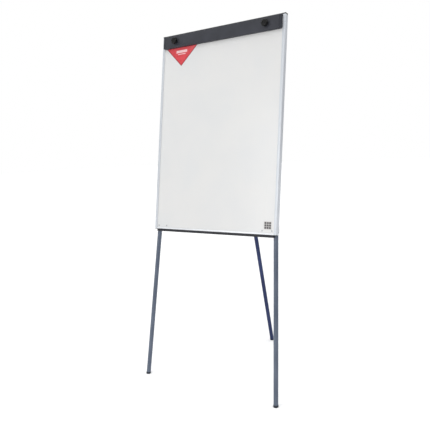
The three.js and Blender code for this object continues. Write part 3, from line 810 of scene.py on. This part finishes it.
def add_corner_rivets():
    """Domed blind rivets with the small pit that the drawn pin leaves."""
    base = LIP_BACK - SHEET_FRONT
    rivet = lathe([
        (0, 0, 0), (RIVET_SHANK, 0, 0.2), (RIVET_SHANK, base, 0),
        (RIVET_RADIUS, base, 0.15), (RIVET_RADIUS - 0.2, base + 0.5, 0.4),
        (2.2, base + 1.4, 1.6), (1.1, base + 1.35, 0.2), (0.9, base + 0.8, 0.2), (0, base + 0.8, 0),
    ], sides=SMALL_ROUND)
    for name, sign in SIDES:
        for label, inset in RIVET_INSETS:
            place = BOARD @ at(sign * (HALF_WIDTH - inset), LIP_BACK - GAP, RIVET_HEIGHT) @ OUT_OF_FRONT
            detail(f"corner_rivet_{name}_{label}", rivet.copy(), place)


def add_stickers():
    """Triangular and square vinyl stickers with softly cut corners; their prints are in the finishes."""
    back = SHEET_FRONT - GAP
    corners = ((-STICKER_HALF, 0), (0, -STICKER_HALF), (STICKER_HALF, 0))
    triangle = rounded([(x, y, STICKER_CORNER) for x, y in corners])
    flat = Matrix.Rotation(math.pi / 2, 4, "X")  # the outline's y becomes height
    mesh = moved(plate(triangle, 0, STICKER_THICKNESS, edge=STICKER_EDGE), flat)
    detail("corner_sticker", mesh, BOARD @ at(STICKER_CENTRE, back, STICKER_TOP))
    width, height = LABEL_SIZE
    corners = ((-1, -1), (1, -1), (1, 1), (-1, 1))
    square = rounded([(x * width / 2, y * height / 2, LABEL_CORNER) for x, y in corners])
    mesh = moved(plate(square, 0, STICKER_THICKNESS, edge=STICKER_EDGE), flat)
    detail("square_label", mesh, BOARD @ at(LABEL_CENTRE[0], back, LABEL_CENTRE[1]))


# ---- Paper clamp ----
def add_clamp_bar():
    """Folded channel with round bends, a return flange on the board side and two stud holes."""
    inner = CLAMP_HALF - CLAMP_CAP
    flange_back = -GAP
    section = [
        (flange_back, CLAMP_TOP, 0.5),
        (CLAMP_FRONT, CLAMP_TOP, CLAMP_BEND), (CLAMP_FRONT, CLAMP_BOTTOM, CLAMP_BEND),
        (CLAMP_BACK, CLAMP_BOTTOM, 0.5), (CLAMP_BACK, CLAMP_BOTTOM + WALL, 0.5),
        (CLAMP_FRONT + WALL, CLAMP_BOTTOM + WALL, CLAMP_INNER_BEND),
        (CLAMP_FRONT + WALL, CLAMP_TOP - WALL, CLAMP_INNER_BEND),
        (flange_back, CLAMP_TOP - WALL, 0.5),
    ]
    mesh = along_x(rounded(section), -inner, inner, edge=0.2)
    for _, sign in SIDES:
        place = at(sign * KNOB_SPREAD, 0, KNOB_HEIGHT) @ OUT_OF_FRONT
        mesh = carve(mesh, moved(rod(STUD_HOLE, 0, FRAME_DEPTH, sides=SMALL_ROUND), place))
    detail("clamp_bar", mesh, BOARD)


def add_clamp_caps():
    """Moulded caps that close the channel's ends, with a large radius on the lower outer corner."""
    start, end = CLAMP_HALF - CLAMP_CAP + GAP, CLAMP_HALF
    corners = [
        (start, CLAMP_BOTTOM, 0.4), (end, CLAMP_BOTTOM, CLAMP_CAP_LOW_CORNER),
        (end, CLAMP_TOP, CLAMP_CAP_TOP_CORNER), (start, CLAMP_TOP, 0.4),
    ]
    for name, sign in SIDES:
        outline = rounded([(sign * x, height, radius) for x, height, radius in corners])
        mesh = moved(plate(outline, GAP, -CLAMP_FRONT, edge=1.2), OUT_OF_FRONT)
        detail(f"clamp_end_cap_{name}", mesh, BOARD)


def add_clamp_knobs():
    """Eight-lobed hand knobs on a collar, with a dished face and a centre button, over thin washers."""
    washer_base = -CLAMP_FRONT + GAP
    washer_top = washer_base + WASHER_THICKNESS
    base = washer_top + GAP
    collar, top = base + KNOB_COLLAR, base + KNOB_LENGTH
    lobe = KNOB_LOBE_DEPTH
    rim = [
        (0, top - KNOB_CROWN, 0), (KNOB_BORE, top - KNOB_CROWN, 0), (KNOB_BORE, base, 0),
        (8.6, base, 0), (9, base + 0.4, 0),
        (9, collar - 1, 0), (9.6, collar - 0.3, 0),
        (11.5, collar, 0.3 * lobe), (14.5, collar + 0.3, 0.7 * lobe),
        (16.2, collar + 1.2, lobe), (KNOB_RADIUS, collar + 2.8, lobe),
        (KNOB_RADIUS, top - 4.5, lobe), (16.6, top - 2.6, lobe), (15.4, top - 1.2, 0.95 * lobe),
        (13.4, top - 0.3, 0.8 * lobe), (11, top, 0.5 * lobe),
        (9, top - 0.3, 0.2 * lobe), (7.4, top - 1.1, 0),
        (7, top - 1.5, 0), (6.6, top - 1.5, 0), (6.2, top - 1.1, 0), (5, top - 0.7, 0), (2.5, top - 0.4, 0),
        (0, top - 0.3, 0),
    ]
    washer = lathe([
        (STUD_HOLE, washer_base, 0.3), (WASHER_RADIUS, washer_base, 0.3),
        (WASHER_RADIUS, washer_top, 0.6), (STUD_HOLE, washer_top, 0.3),
    ], closed=True)
    for name, sign in SIDES:
        place = BOARD @ at(sign * KNOB_SPREAD, 0, KNOB_HEIGHT) @ OUT_OF_FRONT
        detail(f"knob_{name}", turned(rim, sides=KNOB_SIDES, lobes=KNOB_LOBES), place)
        detail(f"knob_washer_{name}", washer.copy(), place)


# ---- Front legs ----
def guide_outline(sign):
    """Guide block's outline round the leg: flat to the board, thin outside, with a boss inboard."""
    front = LIP_BACK + 2 * GAP - LEG_DEPTH
    outer, inner = sign * GUIDE_OUTER, -sign * GUIDE_INNER
    return rounded([
        (inner, front, 0.8), (outer, front, 0.8),
        (outer, GUIDE_BACK, GUIDE_CORNER), (inner, GUIDE_BACK, GUIDE_CORNER),
    ])


def lock_knob():
    """Lobed thumb grip with rounded rims, a dished face and a blind bore for its stud."""
    seat = LOCK_SEAT + 2 * GAP
    top, lobe = seat + LOCK_GRIP_LENGTH, LOCK_GRIP_LOBE_DEPTH
    return turned([
        (0, seat + LOCK_BORE_DEPTH, 0), (SCREW_BORE, seat + LOCK_BORE_DEPTH, 0), (SCREW_BORE, seat, 0),
        (6, seat, 0), (8, seat + 0.3, 0.4 * lobe),
        (10.8, seat + 0.8, 0.8 * lobe), (12.4, seat + 2, lobe),
        (LOCK_GRIP_RADIUS, seat + 3.6, lobe), (LOCK_GRIP_RADIUS, top - 3.6, lobe),
        (12.4, top - 1.8, lobe), (11, top - 0.5, 0.9 * lobe),
        (9, top, 0.6 * lobe), (6.5, top - 0.5, 0.2 * lobe),
        (3.5, top - 0.9, 0), (0, top - 1, 0),
    ], sides=LOCK_GRIP_SIDES, lobes=LOCK_GRIP_LOBES)


def screw_hole():
    """Tool for a lock screw's hole, along +Z."""
    return rod(SCREW_BORE, 2, LOCK_SEAT + 2, sides=HOLE_ROUND)


def tube_plug(end, tube_radius):
    """Tube plug with a domed cap and a tapered shank."""
    shank = tube_radius - TUBE_WALL - GAP
    return lathe([
        (0, end - PLUG_LENGTH, 0), (shank - SHANK_GROOVE, end - PLUG_LENGTH, 0.5), (shank, end - 12, 0.5),
        (shank, end + GAP, 0),
        (tube_radius, end + GAP, 0.2), (tube_radius, end + 1.4, 0.8),
        (tube_radius - 3, end + PLUG_CAP, 3), (0, end + PLUG_CAP, 0),
    ])


def foot_mesh(place, floor_distance):
    """Push-in tube foot: a ribbed shank in the tube and a pad trimmed flat on the floor."""
    low = -floor_distance - FOOT_SPARE
    shoulder = -floor_distance + TUBE_LIFT - GAP
    shank_end = shoulder + FOOT_SHANK
    shank = LEG_RADIUS - TUBE_WALL - GAP
    groove = shank - SHANK_GROOVE
    corners = [(0, low, 0), (FOOT_RADIUS, low, 0), (FOOT_RADIUS, shoulder, 0.8), (shank, shoulder, 0)]
    for rib in range(SHANK_RIBS):
        height = shoulder + 5 + 6 * rib
        corners += [(shank, height, 0.3), (groove, height + 1, 0.3), (groove, height + 2.5, 0.3)]
    corners += [(groove, shank_end, 0.8), (0, shank_end, 0)]
    mesh = lathe(corners)
    to_local = place.inverted()
    floor_point = to_local @ Vector((0, 0, 0))
    floor_down = (to_local.to_3x3() @ Vector((0, 0, -1))).normalized()
    work = bmesh.new()
    work.from_mesh(mesh)
    everything = work.verts[:] + work.edges[:] + work.faces[:]
    cut = bmesh.ops.bisect_plane(
        work, geom=everything, plane_co=floor_point, plane_no=floor_down, clear_outer=True
    )
    rim = [item for item in cut["geom_cut"] if isinstance(item, bmesh.types.BMEdge)]
    base = bmesh.ops.contextual_create(work, geom=rim)["faces"]
    outer_edges = [edge for face in base for edge in face.edges]
    bmesh.ops.bevel(
        work, geom=outer_edges, offset=0.6, segments=3, profile=0.5, affect="EDGES", clamp_overlap=True
    )
    work.to_mesh(mesh)
    work.free()
    return clean(mesh)


def add_front_legs():
    """Each front leg: tube, plug and foot, the two guide blocks it slides in and its lock grip."""
    for name, sign in SIDES:
        place = leg_frame(sign)
        outline = guide_outline(sign)
        bore = circle(LEG_RADIUS + GAP)
        screw_side = at(0, 0, sum(LOWER_GUIDE) / 2) @ Matrix.Rotation(-sign * math.pi / 2, 4, "Y")
        lower = plate(outline, *LOWER_GUIDE, holes=[bore], edge=0.8)
        lower = carve(lower, moved(screw_hole(), screw_side))
        detail(f"lower_guide_{name}", lower, place)
        detail(f"upper_guide_{name}", plate(outline, *UPPER_GUIDE, holes=[bore], edge=0.8), place)
        detail(f"leg_{name}_lock_knob", moved(lock_knob(), screw_side), place)
        tube = pipe(LEG_RADIUS, LEG_RADIUS - TUBE_WALL, -LEG_VISIBLE + TUBE_LIFT, LEG_HIDDEN)
        detail(f"leg_tube_{name}", tube, place)
        detail(f"leg_plug_{name}", tube_plug(LEG_HIDDEN, LEG_RADIUS), place)
        detail(f"foot_{name}", foot_mesh(place, LEG_VISIBLE), place)


# ---- Rear leg ----
def add_hinge_bracket():
    """Bent steel bracket with round bends, round ear corners and a pin hole."""
    base, sheet_back = TOP_RAIL_DEPTH + GAP, TOP_RAIL_DEPTH + GAP + BRACKET_SHEET
    outer, inner = BRACKET_OUTER, BRACKET_OUTER - BRACKET_SHEET
    low, high = PIVOT_HEIGHT - BRACKET_HEIGHT / 2, PIVOT_HEIGHT + BRACKET_HEIGHT / 2
    half = [
        (BRACKET_FLANGE, base, 0.4), (BRACKET_FLANGE, sheet_back, 0.4),
        (outer, sheet_back, 1), (outer, BRACKET_BACK, 0.4),
        (inner, BRACKET_BACK, 0.4), (inner, sheet_back, 1),
    ]
    mirrored = [(-x, y, radius) for x, y, radius in half[::-1]]
    mesh = plate(rounded(half + mirrored), low, high - GAP, edge=0.25)
    ear_end = BRACKET_BACK + 0.01
    ear = rounded([
        (base - 1, low - 1, 0), (ear_end, low - 1, EAR_CORNER),
        (ear_end, high, EAR_CORNER), (base - 1, high, 0),
    ])
    mesh = combine(mesh, along_x(ear, -BRACKET_FLANGE - 2, BRACKET_FLANGE + 2), "INTERSECT")
    mesh = carve(mesh, moved(rod(PIN_HOLE, -BRACKET_FLANGE, BRACKET_FLANGE, sides=SMALL_ROUND), PIN_PLACE))
    detail("hinge_bracket", mesh, BOARD)


def add_hinge_pin():
    """Headed pin with a groove near its other end, and the open clip that sits in the groove."""
    end = BRACKET_OUTER + GAP
    groove = PIN_RADIUS - 0.4
    pin = lathe([
        (0, -end - 2.5, 0), (4.5, -end - 2.5, 1.5), (PIN_HEAD, -end - 1.4, 0.8), (PIN_HEAD, -end, 0.2),
        (PIN_RADIUS, -end, 0), (PIN_RADIUS, end + 0.1, 0), (groove, end + 0.1, 0), (groove, end + 1.4, 0),
        (PIN_RADIUS, end + 1.4, 0), (PIN_RADIUS, end + 4, 0.9), (0, end + 4, 0),
    ], sides=PIN_ROUND)
    detail("hinge_pin", pin, BOARD @ PIN_PLACE)
    ring, hole = circle(CLIP_RADIUS, sides=PIN_ROUND), circle(PIN_HOLE, sides=PIN_ROUND)
    clip = plate(ring, end, end + CLIP_THICKNESS, holes=[hole], edge=0.2)
    notch = block((-1.6, 0, end - 1), (1.6, CLIP_RADIUS + 2, end + CLIP_THICKNESS + 1.5), edge=0.3)
    detail("hinge_pin_clip", carve(clip, notch), BOARD @ PIN_PLACE)


def add_bracket_rivets():
    """Domed rivets that hold the bracket's flanges, each with a small pit."""
    seat = TOP_RAIL_DEPTH + BRACKET_SHEET + 2 * GAP
    profile = [(0, 0, 0), (4, 0, 0.2), (3.4, 1.3, 0.9), (1.6, 2, 0.6), (1.2, 1.5, 0.2), (0, 1.5, 0)]
    rivet = lathe(profile, sides=SMALL_ROUND)
    for name, sign in SIDES:
        place = BOARD @ at(sign * BRACKET_RIVET_SPREAD, seat, PIVOT_HEIGHT) @ OUT_OF_BACK
        detail(f"bracket_rivet_{name}", rivet.copy(), place)


def add_rear_head():
    """Moulded head: an eye round the pin, a heel that meets the bracket, a neck and a spigot in the tube."""
    half, eye = HEAD_HALF, EYE_RADIUS
    foot_of_neck = -REAR_START + GAP
    neck = rounded([(-eye, foot_of_neck, 1.2), (eye, foot_of_neck, 1.2), (eye, 0, 0), (-eye, 0, 0)])
    mesh = combine(along_x(circle(eye), -half, half, edge=1), along_x(neck, -half, half, edge=1), "UNION")
    reach = PIVOT_DEPTH - TOP_RAIL_DEPTH - BRACKET_SHEET - 2 * GAP
    low, high = HEEL
    stop = rounded([(-reach, low, 1), (0, low, 1), (0, high, 1), (-reach, high, 1)])
    heel = moved(along_x(stop, -half, half, edge=1), Matrix.Rotation(-REAR_TURN, 4, "X"))
    mesh = combine(mesh, heel, "UNION")
    spigot = rod(REAR_RADIUS - TUBE_WALL - GAP, -REAR_START - SPIGOT, -REAR_START + 1, edge=1)
    mesh = combine(mesh, spigot, "UNION")
    bore = moved(rod(PIN_HOLE, -half - 5, half + 5, sides=SMALL_ROUND), ALONG_PIN)
    detail("rear_leg_head", carve(mesh, bore), REAR)


def add_rear_collar():
    """Moulded collar: ringed ends, a square boss for the lock screw and a stepped bore."""
    tube_end = -REAR_START - REAR_LENGTH
    low = tube_end - COLLAR_OVERHANG
    high = low + COLLAR_LENGTH
    screw_side = at(0, 0, (low + tube_end) / 2) @ ALONG_PIN
    outer, waist = COLLAR_RADIUS, COLLAR_RADIUS - 0.9
    ring_end = COLLAR_RING + 0.6
    ring = lathe([
        (LEG_RADIUS + GAP, low, 0.4), (outer, low, 1.2),
        (outer, low + COLLAR_RING, 0.6), (waist, low + ring_end, 0.4),
        (waist, high - ring_end, 0.4), (outer, high - COLLAR_RING, 0.6),
        (outer, high, 1.2), (REAR_RADIUS + GAP, high, 0.4),
        (REAR_RADIUS + GAP, tube_end - GAP, 0), (LEG_RADIUS + GAP, tube_end - GAP, 0),
    ], closed=True)
    corners = ((-1, -1), (1, -1), (1, 1), (-1, 1))
    square = rounded([(x * BOSS_HALF, y * BOSS_HALF, 2.5) for x, y in corners])
    boss = moved(plate(square, BOSS_START, LOCK_SEAT, edge=0.8), screw_side)
    mesh = combine(ring, boss, "UNION")
    bores = (rod(LEG_RADIUS + GAP, low - 1, tube_end), moved(screw_hole(), screw_side))
    detail("rear_collar", carve(mesh, *bores), REAR)
    detail("rear_leg_lock_knob", moved(lock_knob(), screw_side), REAR)


def add_rear_leg():
    """Rear leg: head, upper tube, collar and lock grip, and the lower tube with its plug and foot."""
    add_rear_head()
    outer_end = -REAR_START - REAR_LENGTH
    detail("rear_upper_tube", pipe(REAR_RADIUS, REAR_RADIUS - TUBE_WALL, outer_end, -REAR_START), REAR)
    add_rear_collar()
    lower = pipe(LEG_RADIUS, LEG_RADIUS - TUBE_WALL, -REAR_REACH + TUBE_LIFT, -REAR_INNER_START)
    detail("rear_lower_tube", lower, REAR)
    detail("rear_tube_plug", tube_plug(-REAR_INNER_START, LEG_RADIUS), REAR)
    detail("foot_rear", foot_mesh(REAR, REAR_REACH), REAR)


# ---- CAD nodes that keep their own shape, in metres ----
CAD_WELD = 0.00001
CAD_EDGE = 0.00012
CAD_EDGE_ANGLE = math.radians(40)


def finish_cad_nodes():
    """The CAD nodes still shown take their slot's finish, and get a fine bevel on their edges."""
    for node, item in frame["nodes"].items():
        if item.hide_render:
            continue
        item.data.materials.clear()
        item.data.materials.append(finish_of(node))
        weld = item.modifiers.new("weld", "WELD")
        weld.merge_threshold = CAD_WELD
        bevel = item.modifiers.new("edge", "BEVEL")
        bevel.width = CAD_EDGE
        bevel.segments = EDGE_STEPS
        bevel.limit_method = "ANGLE"
        bevel.angle_limit = CAD_EDGE_ANGLE


# ---- Stage, lights and camera, in metres ----
FLOOR_HALF = 40
HORIZON_LIGHT = 0.12
CEILING_LIGHT = 1.75
# name: place, aim, width and height, power
LIGHTS = {
    "key": ((-1.1, -3.6, 1.7), (0, -0.3, 0.9), (0.8, 2.2), 28),
    "fill": ((-3.0, 2.2, 1.8), (0, 0.2, 0.9), (1.5, 2.5), 5),
}
CAMERA_PLACE = Vector((1.3164, -2.2402, 1.1339))
CAMERA_YAW = math.radians(33.085)
CAMERA_PITCH = math.radians(-7.076)
CAMERA_ROLL = math.radians(-2.42)
CAMERA_LENS = 41.6
SENSOR_WIDTH = 36


def add_floor():
    """Plain pale floor at the feet."""
    half = FLOOR_HALF
    mesh = bpy.data.meshes.new("floor")
    corners = [(-half, -half, 0), (half, -half, 0), (half, half, 0), (-half, half, 0)]
    mesh.from_pydata(corners, [], [(0, 1, 2, 3)])
    floor = bpy.data.objects.new("floor", mesh)
    bpy.context.scene.collection.objects.link(floor)
    finish = Finish("pale_floor", 0.9)
    finish.colour(finish.mix(finish.noise(0.8), linear(250, 250, 250), linear(247, 247, 248)))
    mesh.materials.append(finish.material)


def add_light(name, location, target, size, power):
    """Soft rectangular light aimed at a point."""
    data = bpy.data.lights.new(name, "AREA")
    data.shape = "RECTANGLE"
    data.size, data.size_y = size
    data.energy = power
    light = bpy.data.objects.new(name, data)
    light.location = location
    light.rotation_euler = (Vector(target) - Vector(location)).to_track_quat("-Z", "Y").to_euler()
    bpy.context.scene.collection.objects.link(light)


def add_studio():
    """White surroundings for the eye; for the light, a bright ceiling that darkens towards the horizon."""
    world = bpy.data.worlds.new("studio")
    world.use_nodes = True
    tree = world.node_tree
    seen = tree.nodes["Background"]
    seen.inputs["Color"].default_value = (1, 1, 1, 1)
    light = tree.nodes.new("ShaderNodeBackground")
    light.inputs["Color"].default_value = (1, 1, 1, 1)
    direction = tree.nodes.new("ShaderNodeSeparateXYZ")
    ramp = tree.nodes.new("ShaderNodeMapRange")
    ramp.inputs["From Min"].default_value = 0
    ramp.inputs["From Max"].default_value = 1
    ramp.inputs["To Min"].default_value = HORIZON_LIGHT
    ramp.inputs["To Max"].default_value = CEILING_LIGHT
    path = tree.nodes.new("ShaderNodeLightPath")
    mix = tree.nodes.new("ShaderNodeMixShader")
    tree.links.new(tree.nodes.new("ShaderNodeTexCoord").outputs["Generated"], direction.inputs[0])
    tree.links.new(direction.outputs["Z"], ramp.inputs["Value"])
    tree.links.new(ramp.outputs[0], light.inputs["Strength"])
    tree.links.new(path.outputs["Is Camera Ray"], mix.inputs[0])
    tree.links.new(light.outputs[0], mix.inputs[1])
    tree.links.new(seen.outputs[0], mix.inputs[2])
    tree.links.new(mix.outputs[0], tree.nodes["World Output"].inputs["Surface"])
    bpy.context.scene.world = world
    for name, settings in LIGHTS.items():
        add_light(name, *settings)


def add_camera():
    """Camera at the photograph's viewing angle: yaw from +Y towards -X, pitch above the horizon, roll."""
    yaw, pitch, roll = CAMERA_YAW, CAMERA_PITCH, CAMERA_ROLL
    forward = Vector((-math.sin(yaw) * math.cos(pitch), math.cos(yaw) * math.cos(pitch), math.sin(pitch)))
    level = Vector((math.cos(yaw), math.sin(yaw), 0))
    upright = level.cross(forward)
    side = level * math.cos(roll) + upright * math.sin(roll)
    top = upright * math.cos(roll) - level * math.sin(roll)
    data = bpy.data.cameras.new("camera")
    data.sensor_width = SENSOR_WIDTH
    data.lens = CAMERA_LENS
    data.clip_start, data.clip_end = 0.05, 200
    camera = bpy.data.objects.new("camera", data)
    turn = Matrix((side, top, -forward)).transposed().to_4x4()
    camera.matrix_world = Matrix.Translation(CAMERA_PLACE) @ turn
    bpy.context.scene.collection.objects.link(camera)
    bpy.context.scene.camera = camera


add_camera()
add_floor()
add_studio()
bpy.context.scene.view_settings.view_transform = "Standard"
add_side_profiles()
add_end_caps()
add_bottom_profile()
add_rails()
add_corner_rivets()
add_stickers()
add_clamp_bar()
add_clamp_caps()
add_clamp_knobs()
add_front_legs()
add_hinge_bracket()
add_hinge_pin()
add_bracket_rivets()
add_rear_leg()
finish_cad_nodes()
